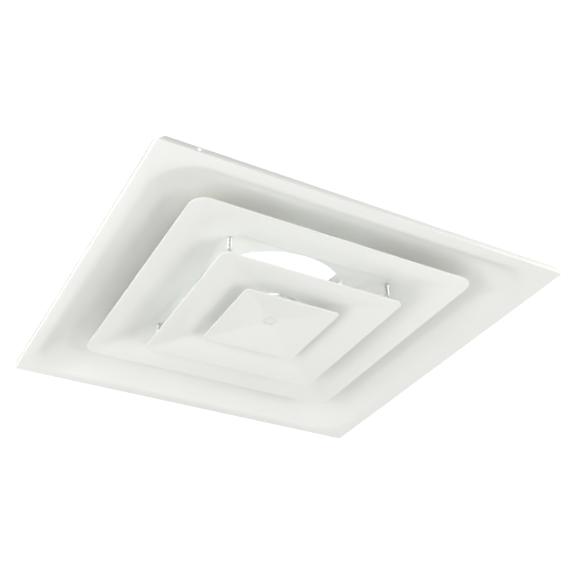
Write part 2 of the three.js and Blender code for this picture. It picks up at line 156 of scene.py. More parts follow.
def sideways_length(step):
    """How far a step between two profile rows goes in side view."""
    return math.hypot(step[0], step[2])


def eased_path(rows, eases):
    """The rows as a fine path, with short steps on straight stretches and each bend rounded."""
    path = [rows[0]]

    def run_to(target):
        step = target - path[-1]
        count = max(1, math.ceil(sideways_length(step) / STRAIGHT_STEP))
        start = path[-1]
        path.extend(start + step * (k / count) for k in range(1, count + 1))

    for before, bend, after, ease in zip(rows, rows[1:], rows[2:], eases[1:]):
        lengths = [sideways_length(bend - before), sideways_length(after - bend)]
        reaches = [min(ease, MOST_EASE * length) / length for length in lengths]
        start = bend + (before - bend) * reaches[0]
        end = bend + (after - bend) * reaches[1]
        run_to(start)
        for k in range(1, BEND_STEPS + 1):
            t = k / BEND_STEPS
            path.append((1 - t) ** 2 * start + 2 * t * (1 - t) * bend + t * t * end)
    run_to(rows[-1])
    return np.array(path)


def upper_normals(path):
    """Unit normals in side view, on the upper side of a path that runs from rim to throat."""
    tangents = np.gradient(path[:, [0, 2]], axis=0)
    tangents /= np.linalg.norm(tangents, axis=1)[:, None]
    return np.column_stack([tangents[:, 1], -tangents[:, 0]])


def shifted(path, normals, distance):
    """A path moved along its normals. A corner's radius grows or shrinks with its half width."""
    return path + distance * np.column_stack([normals[:, 0], normals[:, 0], normals[:, 1]])


def sheared_edge(lower, upper, outward):
    """The points that round a sheet's cut edge, from its lower face to its upper face."""
    middle = (lower + upper) / 2
    across = (upper - lower) / 2
    points = []
    for angle in np.radians((45, 90, 135)):
        points.append(middle - across * math.cos(angle) + outward * EDGE_BULGE * math.sin(angle))
    return points


def edge_direction(path, at_end):
    """Which way a path leaves the sheet at its start or its end, in side view."""
    step = path[-1] - path[-2] if at_end else path[0] - path[1]
    step = np.array([step[0], step[0], step[2]])
    return step / math.hypot(step[0], step[2])


def sheet_outline(rows, eases):
    """A closed outline round a sheet with two cut edges."""
    lower = eased_path(rows, eases)
    upper = shifted(lower, upper_normals(lower), SHEET)
    throat = sheared_edge(lower[-1], upper[-1], edge_direction(lower, True))
    rim = sheared_edge(upper[0], lower[0], edge_direction(lower, False))
    return np.array([*lower, *throat, *upper[::-1], *rim])


def hemmed_outline(rows, eases):
    """A closed outline round a cone's sheet, with its rim folded back on itself as a flat hem."""
    rim = rows[0]
    along = np.array([rows[1][0] - rim[0], 0.0, rows[1][2] - rim[2]])
    along /= np.linalg.norm(along)
    up = np.array([along[2], 0.0, -along[0]])
    radius = HEM_THICKNESS / 2

    def at(distance, height):
        point = rim + along * distance + up * height
        point[1] = max(SMALLEST_CORNER, rim[1] + point[0] - rim[0])
        return point

    def fold(size, angles):
        return [at(radius - size * math.cos(a), radius + size * math.sin(a)) for a in angles]

    lower = eased_path(np.array([at(radius, 0.0), *rows[1:]]), eases)
    upper = shifted(lower, upper_normals(lower), SHEET)
    throat = sheared_edge(lower[-1], upper[-1], edge_direction(lower, True))
    bend = np.linspace(-QUARTER_TURN, QUARTER_TURN, HEM_STEPS + 1)
    inside = fold(radius - SHEET, bend)
    hem_lower = at(HEM_WIDTH, HEM_THICKNESS - SHEET)
    hem_upper = at(HEM_WIDTH, HEM_THICKNESS)
    hem_edge = sheared_edge(hem_lower, hem_upper, along)
    outside = fold(radius, bend[::-1])
    return np.array(
        [*lower, *throat, *upper[:0:-1], *inside, hem_lower, *hem_edge, hem_upper, *outside[:-1]]
    )


def rounded_square(half, corner):
    """Points round a rounded square, anticlockwise from the middle of its front side."""
    straight = half - corner
    quarter = 2 * straight + corner * QUARTER_TURN
    side = max(straight, SIDE_SHARE * quarter)
    distances = np.concatenate([
        np.linspace(0, side, SIDE_STEPS // 2 + 1),
        np.linspace(side, quarter - side, CORNER_STEPS + 1)[1:],
        np.linspace(quarter - side, quarter, SIDE_STEPS // 2 + 1)[1:-1],
    ])
    turned = np.clip((distances - straight) / corner, 0, QUARTER_TURN)
    before = np.minimum(distances, straight)
    after = np.maximum(distances - straight - corner * QUARTER_TURN, 0)
    x = before + corner * np.sin(turned)
    y = -half + corner * (1 - np.cos(turned)) + after
    points = []
    for index in range(4):
        cos, sin = round(math.cos(index * QUARTER_TURN)), round(math.sin(index * QUARTER_TURN))
        points.append(np.column_stack([x * cos - y * sin, x * sin + y * cos]))
    return np.concatenate(points)


# ---- mesh helpers ----

SHARP_ANGLE = math.radians(38)
TURNED_STEPS = 32           # steps round a small turned piece
WIRE_SIDES = 8
CUTTER_LENGTH = 12.0
TINY = 1e-9


def new_piece(name, vertices, faces):
    """A mesh object from points in millimetres."""
    mesh = bpy.data.meshes.new(name)
    mesh.from_pydata((np.array(vertices) * MM).tolist(), [], faces)
    piece = bpy.data.objects.new(name, mesh)
    bpy.context.scene.collection.objects.link(piece)
    tidy_normals(piece)
    return piece


def tidy_normals(piece):
    """Turns every face outwards and shades smoothly between faces that meet at a low angle."""
    work = bmesh.new()
    work.from_mesh(piece.data)
    bmesh.ops.recalc_face_normals(work, faces=work.faces)
    for face in work.faces:
        face.smooth = True
    work.to_mesh(piece.data)
    work.free()
    piece.data.set_sharp_from_angle(angle=SHARP_ANGLE)


def grid_faces(rows, columns, close_rows, close_columns):
    """Quads over a grid of points, joined round in either direction where it closes."""
    faces = []
    for i in range(rows if close_rows else rows - 1):
        for k in range(columns if close_columns else columns - 1):
            here, up = i * columns, ((i + 1) % rows) * columns
            along = (k + 1) % columns
            faces.append((here + k, here + along, up + along, up + k))
    return faces


def tube_faces(rows, columns):
    """Faces of a tube of closed rings, with a flat cap on each end."""
    count = rows * columns
    caps = [list(range(columns)), list(range(count - columns, count))]
    return grid_faces(rows, columns, False, True) + caps


def skin(name, outline):
    """The closed skin of a sheet that follows an outline round the four sides."""
    vertices = []
    for half, corner, z in outline:
        ring = rounded_square(half, min(corner, half))
        vertices.extend((x, y, z) for x, y in ring)
    columns = len(vertices) // len(outline)
    return new_piece(name, vertices, grid_faces(len(outline), columns, True, True))


def turned(name, outline, steps=TURNED_STEPS, turn=Matrix.Identity(4), span=FULL_TURN):
    """A turned piece: an outline of radius and height, taken round +Z and then placed.

    An outline either closes on itself or starts and ends on the axis. A span below a full turn
    leaves two flat ends.
    """
    full = span == FULL_TURN
    on_axis = outline[0][0] < TINY
    angles = np.linspace(0, span, steps, endpoint=not full)
    vertices, rings = [], []
    for radius, z in outline:
        first = len(vertices)
        if radius < TINY:
            vertices.append((0, 0, z))
            rings.append([first] * steps)
        else:
            vertices.extend((radius * math.cos(a), radius * math.sin(a), z) for a in angles)
            rings.append(list(range(first, first + steps)))
    faces = []
    pairs = list(zip(rings, rings[1:]))
    if not on_axis:
        pairs.append((rings[-1], rings[0]))
    for low, high in pairs:
        for k in range(steps if full else steps - 1):
            after = (k + 1) % steps
            corners = [low[k], low[after], high[after], high[k]]
            faces.append(list(dict.fromkeys(corners)))
    if not full:
        faces.append([ring[0] for ring in rings])
        faces.append([ring[-1] for ring in rings])
    placed = [turn @ Vector(point) for point in vertices]
    return new_piece(name, placed, faces)


def swept(name, path, radius):
    """A round wire along a path, with its ends closed."""
    path = np.array(path)
    tangents = np.gradient(path, axis=0)
    tangents /= np.linalg.norm(tangents, axis=1)[:, None]
    side = np.cross(tangents[0], (0.0, 1.0, 0.0))
    vertices = []
    for point, tangent in zip(path, tangents):
        side = side - tangent * side.dot(tangent)
        side /= np.linalg.norm(side)
        other = np.cross(tangent, side)
        for angle in np.linspace(0, FULL_TURN, WIRE_SIDES, endpoint=False):
            vertices.append(point + radius * (side * math.cos(angle) + other * math.sin(angle)))
    return new_piece(name, vertices, tube_faces(len(path), WIRE_SIDES))


def block(name, outline, low, high, turn):
    """A straight prism for cutting: an outline in (x, z), taken from y = low to y = high."""
    vertices = [(x, low, z) for x, z in outline] + [(x, high, z) for x, z in outline]
    count = len(outline)
    faces = [(k, (k + 1) % count, count + (k + 1) % count, count + k) for k in range(count)]
    faces += [list(range(count)), list(range(count, 2 * count))]
    return new_piece(name, [turn @ Vector(point) for point in vertices], faces)


def placed_along(direction, point):
    """The placement that carries +Z to a direction and the origin to a point."""
    turn = Vector(direction).to_track_quat("Z", "Y").to_matrix().to_4x4()
    return Matrix.Translation(point) @ turn


def round_cutter(radius, centre, direction, length=CUTTER_LENGTH):
    """A round bar for cutting a hole through a point, along a direction."""
    outline = [(0, -length / 2), (radius, -length / 2), (radius, length / 2), (0, length / 2)]
    return turned("cutter", outline, turn=placed_along(direction, centre))


def cut(piece, cutters):
    """Removes each cutter's volume from a piece."""
    for cutter in cutters:
        modifier = piece.modifiers.new("cut", "BOOLEAN")
        modifier.operation = "DIFFERENCE"
        modifier.solver = "EXACT"
        modifier.object = cutter
    depsgraph = bpy.context.evaluated_depsgraph_get()
    mesh = bpy.data.meshes.new_from_object(piece.evaluated_get(depsgraph))
    piece.modifiers.clear()
    piece.data = mesh
    tidy_normals(piece)
    for cutter in cutters:
        bpy.data.objects.remove(cutter)


def turn_about_z(index):
    """The quarter turn that carries the front to a side, or the front left to a corner."""
    return Matrix.Rotation(index * QUARTER_TURN, 4, "Z")


def settle(piece, node, body, material):
    """Gives a piece its finish, and lets it stand for a CAD node and ride on its body, if any."""
    piece.data.materials.clear()
    piece.data.materials.append(material)
    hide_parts(node)
    if body:
        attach(piece, body)


# ---- materials ----

# Most of a cloudy pattern's values lie in these ranges, so these give soft and strong patches.
SOFT = (0.3, 0.7)
STRONG = (0.35, 0.65)
WHOLE = (0.0, 1.0)


class Look:
    """A material's node tree, with short calls for the nodes used here."""

    def __init__(self, name):
        self.material = bpy.data.materials.new(name)
        self.material.use_nodes = True
        self.nodes = self.material.node_tree.nodes
        self.links = self.material.node_tree.links
        self.surface = self.nodes["Principled BSDF"]
        self.place = self.nodes.new("ShaderNodeTexCoord").outputs["Object"]

    def set(self, **inputs):
        """Sets the surface's inputs, each by a value or by another node's output."""
        for name, value in inputs.items():
            socket = self.surface.inputs[name.replace("_", " ")]
            if isinstance(value, bpy.types.NodeSocket):
                self.links.new(value, socket)
            else:
                socket.default_value = value

    def stretched(self, scale):
        """The place in the piece, scaled by a different amount along each axis."""
        node = self.nodes.new("ShaderNodeMapping")
        node.inputs["Scale"].default_value = scale
        self.links.new(self.place, node.inputs["Vector"])
        return node.outputs["Vector"]

    def noise(self, per_metre, detail=2.0, place=None):
        """A cloudy pattern with that many features to a metre."""
        node = self.nodes.new("ShaderNodeTexNoise")
        node.inputs["Scale"].default_value = per_metre
        node.inputs["Detail"].default_value = detail
        self.links.new(place or self.place, node.inputs["Vector"])
        return node.outputs["Fac"]

    def cells(self, per_metre):
        """A grey for each cell of a crystal-like pattern."""
        node = self.nodes.new("ShaderNodeTexVoronoi")
        node.inputs["Scale"].default_value = per_metre
        self.links.new(self.place, node.inputs["Vector"])
        grey = self.nodes.new("ShaderNodeSeparateColor")
        self.links.new(node.outputs["Color"], grey.inputs["Color"])
        return grey.outputs["Red"]

    def ranged(self, source, values, result):
        """A source's values, from their lowest to their highest, mapped to another range."""
        node = self.nodes.new("ShaderNodeMapRange")
        for name, value in zip(("From Min", "From Max", "To Min", "To Max"), values + result):
            node.inputs[name].default_value = value
        self.links.new(source, node.inputs["Value"])
        return node.outputs["Result"]

    def mixed(self, share, first, second):
        """Two colours mixed by a share."""
        node = self.nodes.new("ShaderNodeMix")
        node.data_type = "RGBA"
        self.links.new(share, node.inputs["Factor"])
        for name, colour in (("A", first), ("B", second)):
            socket = next(s for s in node.inputs if s.name == name and s.type == "RGBA")
            socket.default_value = (*colour, 1.0)
        return next(s for s in node.outputs if s.type == "RGBA")

    def bump(self, height, depth, under=None):
        """A normal tipped by a height pattern that is depth metres deep."""
        node = self.nodes.new("ShaderNodeBump")
        node.inputs["Strength"].default_value = 1.0
        node.inputs["Distance"].default_value = depth
        self.links.new(height, node.inputs["Height"])
        if under:
            self.links.new(under, node.inputs["Normal"])
        return node.outputs["Normal"]


def powder_coat(name, colour, shade):
    """Semi-gloss white powder coat: orange peel, slightly wavy sheet and faint cloudiness."""
    look = Look(name)
    clouds = look.ranged(look.noise(per_metre=9.0, detail=3.0), STRONG, WHOLE)
    waves = look.bump(look.noise(per_metre=7.0, detail=1.0), depth=0.0006)
    peel = look.bump(look.noise(per_metre=620.0, detail=1.5), depth=0.000012, under=waves)
    look.set(
        Base_Color=look.mixed(clouds, colour, shade),
        Roughness=look.ranged(look.noise(per_metre=45.0, detail=4.0), SOFT, (0.34, 0.46)),
        IOR=1.5,
        Normal=peel,
    )
    return look.material


def galvanized(name, dark, light):
    """Zinc-coated sheet: a spangle of crystals with a fine grain over it."""
    look = Look(name)
    crystals = look.cells(per_metre=140.0)
    spangle = look.bump(crystals, depth=0.00001)
    look.set(
        Base_Color=look.mixed(crystals, dark, light),
        Metallic=0.25,
        Roughness=look.ranged(crystals, WHOLE, (0.5, 0.66)),
        Normal=look.bump(look.noise(per_metre=900.0), depth=0.000006, under=spangle),
    )
    return look.material


def plated_steel(name, dark, light, metallic, roughness):
    """Bright zinc-plated steel with fine streaks along its length and dull patches.

    The roughness is a range, from the bright patches to the dull ones.
    """
    look = Look(name)
    lengthwise = look.stretched((1.0, 1.0, 0.15))
    streaks = look.noise(per_metre=700.0, detail=3.0, place=lengthwise)
    patches = look.ranged(look.noise(per_metre=220.0, detail=3.0), STRONG, WHOLE)
    look.set(
        Base_Color=look.mixed(patches, dark, light),
        Metallic=metallic,
        Roughness=look.ranged(patches, WHOLE, roughness),
        Normal=look.bump(streaks, depth=0.000008),
    )
    return look.material


def moulded_plastic(name, colour, shade):
    """Satin white plastic, with the faint flow marks and fine texture of a moulding."""
    look = Look(name)
    flow = look.ranged(look.noise(per_metre=90.0), STRONG, WHOLE)
    look.set(
        Base_Color=look.mixed(flow, colour, shade),
        Roughness=look.ranged(look.noise(per_metre=260.0, detail=3.0), SOFT, (0.22, 0.34)),
        Normal=look.bump(look.noise(per_metre=1500.0), depth=0.000006),
    )
    return look.material


enamel = powder_coat("white_powder_coat", (0.925, 0.931, 0.905), (0.912, 0.920, 0.893))
zinc_sheet = galvanized("galvanized_sheet", (0.76, 0.77, 0.77), (0.88, 0.89, 0.89))
rivet_steel = plated_steel(
    "rivet_steel", (0.60, 0.61, 0.62), (0.74, 0.75, 0.76), metallic=1.0, roughness=(0.28, 0.43)
)
spring_wire = plated_steel(
    "spring_wire", (0.78, 0.79, 0.80), (0.90, 0.91, 0.91), metallic=0.85, roughness=(0.15, 0.30)
)
plug_plastic = moulded_plastic("plug_plastic", (0.87, 0.87, 0.85), (0.85, 0.85, 0.83))

# ---- back pan ----

pan_low, pan_high = box_mm("back_pan")
FACE_HALF = pan_high.x
FACE_Z = pan_low.z
CLIP_TO = FOLD_RADIUS - FACE_HALF - 0.01    # just outside the start of the flange's fold
pan_rows, pan_eases = placed_profile(PAN_PROFILE, FACE_HALF, FACE_Z)


def flange_clips():
    """Wedges that clip each end of the four turned-up flanges at 45 degrees."""
    foot = FACE_HALF - FOLD_RADIUS
    reach = FLANGE_HEIGHT + 2 * CUT_MARGIN
    wedge = [(foot, 0), (foot + reach, 0), (foot + reach, reach), (foot - reach, reach)]
    clips = []
    for index in range(4):
        for mirror in (1, -1):
            outline = [(mirror * x, FACE_Z + z) for x, z in wedge]
            turn = turn_about_z(index)
            clips.append(block("cutter", outline, -FACE_HALF - CUT_MARGIN, CLIP_TO, turn))
    return clips


def flange_hole_cutters():
    """One hole near the left end of each flange, seen from outside."""
    hole = Vector((FLANGE_HOLE_FROM_CORNER - FACE_HALF, -FACE_HALF, FACE_Z + FLANGE_HOLE_HEIGHT))
    cutters = []
    for index in range(4):
        turn = turn_about_z(index)
        cutters.append(round_cutter(FLANGE_HOLE_RADIUS, turn @ hole, turn @ Vector((0, 1, 0))))
    return cutters


pan = skin("pan_sheet", sheet_outline(pan_rows, pan_eases))
cut(pan, flange_clips() + flange_hole_cutters())
settle(pan, "back_pan", PAN_BODY, enamel)

# ---- duct collar ----

BEAD_DEPTH = 1.8
BEAD_HALF_WIDTH = 3.0
BEAD_BELOW_TOP = 19.0
SEAM_WIDTH = 12.0
SEAM_START_ABOVE_BOTTOM = 14.2
SEAM_GAP = 0.05
SEAM_STEPS = 7
COLLAR_STEPS = 160
BEAD_STEPS = 12

collar_low, collar_high = box_mm("duct_collar")
NECK_RADIUS = collar_high.x - BEAD_DEPTH


def beaded_wall(radius, bottom, top):
    """The outside of the collar's wall from bottom to top, with its rolled bead."""
    bead = collar_high.z - BEAD_BELOW_TOP
    points = [(radius, bottom)]
    for share in np.linspace(-1, 1, BEAD_STEPS + 1):
        bulge = BEAD_DEPTH / 2 * (1 + math.cos(share * math.pi))
        points.append((radius + bulge, bead + share * BEAD_HALF_WIDTH))
    points.append((radius, top))
    return points


def wall_outline(radius, bottom, top):
    """A closed outline round a beaded wall of one sheet's thickness."""
    outer = beaded_wall(radius, bottom, top)
    inner = beaded_wall(radius - SHEET, bottom, top)
    crown = [(radius - SHEET / 2, top + EDGE_BULGE)]
    foot = [(radius - SHEET / 2, bottom - EDGE_BULGE)]
    return outer + crown + inner[::-1] + foot


collar = turned(
    "collar_ring",
    wall_outline(NECK_RADIUS, collar_low.z, collar_high.z - EDGE_BULGE),
    COLLAR_STEPS,
)
settle(collar, "duct_collar", PAN_BODY, zinc_sheet)

seam_radius = NECK_RADIUS + SHEET + SEAM_GAP
seam_span = SEAM_WIDTH / NECK_RADIUS
seam = turned(
    "collar_seam",
    wall_outline(
        seam_radius,
        collar_low.z + SEAM_START_ABOVE_BOTTOM,
        collar_high.z - 2 * EDGE_BULGE,
    ),
    SEAM_STEPS,
    Matrix.Rotation(QUARTER_TURN - seam_span / 2, 4, "Z"),
    seam_span,
)
settle(seam, "duct_collar", PAN_BODY, zinc_sheet)

# ---- cones ----

SPRING_HOLE_RADIUS = 3.8
SPRING_HOLE_REACH = 25.0    # of the hole's cutter, up and down from the spring's middle


def spring_axis(corner):
    """Where a spring stands, as a point at its middle height."""
    low, high = box_mm(f"spring_{corner}")
    return (low + high) / 2


def cone(name, node, profile, body, cutters=()):
    """A pressed cone with a hemmed rim; returns its rows too, for the pieces that sit on it."""
    low, high = box_mm(node)
    rows, eases = placed_profile(profile, high.x, low.z)
    piece = skin(name, hemmed_outline(rows, eases))
    if cutters:
        cut(piece, cutters)
    settle(piece, node, body, enamel)
    return rows


spring_holes = [
    round_cutter(SPRING_HOLE_RADIUS, spring_axis(corner), (0, 0, 1), 2 * SPRING_HOLE_REACH)
    for corner in CORNERS
]
outer_rows = cone("outer_cone_sheet", "outer_cone", OUTER_CONE_PROFILE, PAN_BODY, spring_holes)
middle_rows = cone("middle_cone_sheet", "middle_cone", MIDDLE_CONE_PROFILE, FACE_BODY)
centre_rows = cone("centre_cone_sheet", "centre_cone", CENTRE_CONE_PROFILE, FACE_BODY)

# ---- slopes that hangers and rivets sit on ----


class Slope:
    """A straight stretch of a sheet's underside on the front, between two profile rows."""

    def __init__(self, low, high):
        self.low = low
        self.run = low[0] - high[0]
        self.climb = high[2] - low[2]
        self.tilt = math.atan2(self.climb, self.run)

    def height(self, half):
        """The underside's height at a distance from the axis."""
        return self.low[2] + (self.low[0] - half) * self.climb / self.run

    def normal(self):
        """The upward normal on the front side."""
        return Vector((0, -math.sin(self.tilt), math.cos(self.tilt)))

    def above(self, half, distance):
        """A height at a distance from the axis, measured square to the slope."""
        return self.height(half) + distance / math.cos(self.tilt)


pan_slope = Slope(pan_rows[6], pan_rows[7])
outer_slope = Slope(outer_rows[1], outer_rows[2])
middle_slope = Slope(middle_rows[1], middle_rows[2])
centre_slope = Slope(centre_rows[0], centre_rows[1])

# ---- hangers ----

STRIP = 1.2                 # thickness of the hanger strip
STRIP_STEP = 0.8            # step along and across a strip
STRIP_BEND = 2.2            # reach of each bend to either side
EDGE_ROUND = 0.25           # rounding of the strip's long edges
EDGE_CUT = 0.3 * EDGE_ROUND     # how far in the middle of such a rounding lies from the face and side
WELD_RADIUS = 2.4
WELD_DEPTH = 0.3

PAN_HANGER_WIDTH = 19.0
PAN_HANGER_FOOT = 19.0
PAN_HANGER_WEB_AT = 170.0
PAN_HANGER_WELDS = (7.0, 14.0)     # along the lower foot from its end

CONE_HANGER_WIDTH = 13.0
CONE_HANGER_WEB_AT = 43.0
CONE_HANGER_SHOULDER = 8.0
CONE_HANGER_OUTER_FOOT = 66.0
CONE_HANGER_OUTER_LENGTH = 18.0
CONE_HANGER_INNER_LENGTH = 17.0
CONE_HANGER_TOP = 28.0
CONE_HANGER_WELDS = (5.0, 11.0)    # along each foot from its end


def bent_path(corners):
    """A strip's lower face as a fine path in (distance from the axis, height)."""
    rows = np.array([(x, 0.0, z) for x, z in corners])
    path = eased_path(rows, [STRIP_BEND] * len(rows))
    lengths = np.array([sideways_length(step) for step in np.diff(path, axis=0)])
    travelled = np.concatenate([[0], np.cumsum(lengths)])
    marks = np.linspace(0, travelled[-1], math.ceil(travelled[-1] / STRIP_STEP) + 1)
    return np.column_stack([
        np.interp(marks, travelled, path[:, 0]),
        np.interp(marks, travelled, path[:, 2]),
    ]), marks


def strip(name, corners, width, welds, turn):
    """A bent strip on the front side, with electrode marks pressed into its upper face.

    The corners are its lower face's, in side view, and the welds are distances along it.
    """
    path, marks = bent_path(corners)
    tangents = np.gradient(path, axis=0)
    tangents /= np.linalg.norm(tangents, axis=1)[:, None]
    normals = np.column_stack([tangents[:, 1], -tangents[:, 0]])
    edge = width / 2
    flat = np.linspace(-edge + EDGE_ROUND, edge - EDGE_ROUND, math.ceil(width / STRIP_STEP))
    across = np.array([-edge, -edge + EDGE_CUT, *flat, edge - EDGE_CUT, edge])
    drop = np.array([EDGE_ROUND, EDGE_CUT, *np.zeros(len(flat)), EDGE_CUT, EDGE_ROUND])
    vertices = []
    for point, normal, mark in zip(path, normals, marks):
        loop = list(zip(across, drop))
        for x, rounding in zip(across[::-1], drop[::-1]):
            loop.append((x, STRIP - rounding - dimple(x, mark, welds)))
        for x, depth in loop:
            out, z = point + normal * depth
            vertices.append(turn @ Vector((x, -out, z)))
    return new_piece(name, vertices, tube_faces(len(path), 2 * len(across)))


def dimple(x, mark, welds):
    """How deep a weld's electrode mark is at a point of a strip."""
    depth = 0.0
    for weld in welds:
        share = math.hypot(x, mark - weld) / WELD_RADIUS
        depth = max(depth, WELD_DEPTH * (1 - share ** 4) if share < 1 else 0.0)
    return depth


def pan_hanger(side, turn):
    """A Z-shaped hanger: welded to the outer cone below and riveted under the pan above."""
    tilt = pan_slope.tilt
    inward = np.array([-math.cos(tilt), math.sin(tilt)])
    upward = np.array([math.sin(tilt), math.cos(tilt)])
    cone_top = outer_slope.above(PAN_HANGER_WEB_AT, SHEET + WELD_GAP)
    pan_under = pan_slope.above(PAN_HANGER_WEB_AT, -WELD_GAP)
    height = (pan_under - cone_top) * math.cos(tilt) - STRIP
    start = np.array([PAN_HANGER_WEB_AT, cone_top])
    stops = [(-PAN_HANGER_FOOT, 0), (0, 0), (0, height), (PAN_HANGER_FOOT, height)]
    corners = [start + inward * along + upward * up for along, up in stops]
    name = f"pan_hanger_{side}"
    piece = strip(f"{name}_strip", corners, PAN_HANGER_WIDTH, PAN_HANGER_WELDS, turn)
    settle(piece, name, PAN_BODY, enamel)


def cone_hanger(side, turn):
    """A hooked hanger from the middle cone's back, through its throat, to the centre cone."""

    def on_cone(slope, half):
        return np.array([half, slope.above(half, SHEET + WELD_GAP)])

    top = FACE_Z + CONE_HANGER_TOP
    corners = [
        on_cone(middle_slope, CONE_HANGER_OUTER_FOOT + CONE_HANGER_OUTER_LENGTH),
        on_cone(middle_slope, CONE_HANGER_OUTER_FOOT),
        np.array([CONE_HANGER_WEB_AT + CONE_HANGER_SHOULDER, top]),
        np.array([CONE_HANGER_WEB_AT, top]),
        on_cone(centre_slope, CONE_HANGER_WEB_AT),
        on_cone(centre_slope, CONE_HANGER_WEB_AT - CONE_HANGER_INNER_LENGTH),
    ]
    length = sum(np.linalg.norm(b - a) for a, b in zip(corners, corners[1:]))
    inner = tuple(length - weld for weld in CONE_HANGER_WELDS)
    name = f"cone_hanger_{side}"
    piece = strip(f"{name}_strip", corners, CONE_HANGER_WIDTH, CONE_HANGER_WELDS + inner, turn)
    settle(piece, name, FACE_BODY, enamel)


for index, side in enumerate(SIDES):
    pan_hanger(side, turn_about_z(index))
    cone_hanger(side, turn_about_z(index))

# ---- spring tabs on the middle cone's back ----

TAB_WIDTH = 9.0
TAB_FOOT = 11.0
TAB_FROM_SPRING = 2.5       # from a spring's axis to the middle of its tab's web
TAB_HOLE_RADIUS = 1.2
TAB_DRILL_LENGTH = 6.0
TAB_WELD_FROM_END = 3.5
WIRE_RADIUS = 0.55


def diagonal_reach(row):
    """How far a section reaches along its diagonal."""
    half, corner, _ = row
    return (half - corner) * math.sqrt(2) + corner


lip_ridge = Slope(*((diagonal_reach(row), 0.0, row[2]) for row in middle_rows[:2]))

for index, corner in enumerate(CORNERS):
    name = f"spring_tab_{corner}"
    _, high = box_mm(name)
    spring_low, _ = box_mm(f"spring_{corner}")
    axis = spring_axis(corner)
    spring_at = math.hypot(axis.x, axis.y)
    web_face = spring_at - TAB_FROM_SPRING + STRIP / 2
    foot_end = web_face - TAB_FOOT
    corners = [
        (web_face, high.z),
        (web_face, lip_ridge.above(web_face, SHEET + WELD_GAP)),
        (foot_end, lip_ridge.above(foot_end, SHEET + WELD_GAP)),
    ]
    turn = Matrix.Rotation((index - 0.5) * QUARTER_TURN, 4, "Z")
    length = high.z - corners[1][1] + TAB_FOOT
    tab = strip(f"{name}_strip", corners, TAB_WIDTH, [length - TAB_WELD_FROM_END], turn)
    hole = Vector((0, TAB_FROM_SPRING - spring_at, spring_low.z + WIRE_RADIUS))
    drill = turn @ Vector((0, 1, 0))
    cut(tab, [round_cutter(TAB_HOLE_RADIUS, turn @ hole, drill, TAB_DRILL_LENGTH)])
    settle(tab, name, FACE_BODY, enamel)

# ---- rivets ----

SHANK_RADIUS = 1.6
HEAD_RADIUS = 3.3
HEAD_HEIGHT = 1.1
TAIL_RADIUS = 2.5
TAIL_HEIGHT = 1.3
MANDREL_RADIUS = 0.85
RIVET_CLEARANCE = WELD_GAP / 2
HANGER_RIVET_AT = 160.0
DOME_ANGLES = np.radians(np.linspace(0, 72, 8))    # from the head's edge to the mandrel's hole

# Shares of the tail's radius and height, from its tip to the sheet, and of the mandrel's radius
# and the head's height, from the hole's edge to its middle.
TAIL_OUTLINE = ((0.0, 1.0), (0.7, 1.0), (0.95, 0.75), (1.0, 0.4), (0.9, 0.0))
MANDREL_OUTLINE = ((1.0, 0.5), (0.8, 0.6), (0.0, 0.62))


def blind_rivet(name, node, stack, seat, direction):
    """A blind rivet with its domed head seated at a point and its tail beyond the stack."""
    outline = [(TAIL_RADIUS * out, -stack - TAIL_HEIGHT * down) for out, down in TAIL_OUTLINE]
    outline += [(SHANK_RADIUS, -stack), (SHANK_RADIUS, 0)]
    outline += [(HEAD_RADIUS * math.cos(a), HEAD_HEIGHT * math.sin(a)) for a in DOME_ANGLES]
    outline += [(MANDREL_RADIUS * out, HEAD_HEIGHT * up) for out, up in MANDREL_OUTLINE]
    piece = turned(name, outline, turn=placed_along(direction, seat))
    settle(piece, node, PAN_BODY, rivet_steel)


for corner in CORNERS:
    name = f"collar_rivet_{corner}"
    low, high = box_mm(name)
    outward = Vector((low.x + high.x, low.y + high.y, 0)).normalized()
    seat = outward * (NECK_RADIUS + WELD_GAP + SHEET + RIVET_CLEARANCE)
    seat.z = (low.z + high.z) / 2
    stack = 2 * SHEET + WELD_GAP + 3 * RIVET_CLEARANCE
    blind_rivet(f"{name}_head", name, stack, seat, outward)

for index, side in enumerate(SIDES):
    name = f"hanger_rivet_{side}"
    turn = turn_about_z(index)
    foot = Vector((0, -HANGER_RIVET_AT, pan_slope.height(HANGER_RIVET_AT)))
    seat = foot + pan_slope.normal() * (SHEET + RIVET_CLEARANCE)
    stack = SHEET + WELD_GAP + STRIP + 3 * RIVET_CLEARANCE
    direction = turn.to_3x3() @ pan_slope.normal()
    blind_rivet(f"{name}_head", name, stack, turn @ seat, direction)

# ---- springs ----

COIL_RADIUS = 2.9
COIL_TURNS = 15
COIL_STEPS = 18             # steps in each turn of the coil
COIL_BOTTOM = 5.0           # coil ends above the lower bent end and below the upper one
COIL_TOP = 5.8
FOOT_LENGTH = 5.0
HOOK_STEPS = 6              # steps between two of the points that a hook runs through
LEG_STOP = 3.0              # the straight leg on the axis stops this far short of the coil

# Points of a bent foot that runs onto the spring's axis: share of its length, and rise.
FOOT_POINTS = ((1.0, 0.0), (0.55, 0.0), (0.16, 0.35), (0.0, 1.5))


def smooth_curve(points):
    """A fine curve through points, by Catmull-Rom interpolation."""
    points = np.array(points, float)
    padded = np.vstack([2 * points[0] - points[1], points, 2 * points[-1] - points[-2]])
    curve = []
    for a, b, c, d in zip(padded, padded[1:], padded[2:], padded[3:]):
        for t in np.linspace(0, 1, HOOK_STEPS, endpoint=False):
            curve.append(
                0.5 * (2 * b + (c - a) * t + (2 * a - 5 * b + 4 * c - d) * t ** 2
                       + (3 * b - a - 3 * c + d) * t ** 3)
            )
    return [*curve, points[-1]]


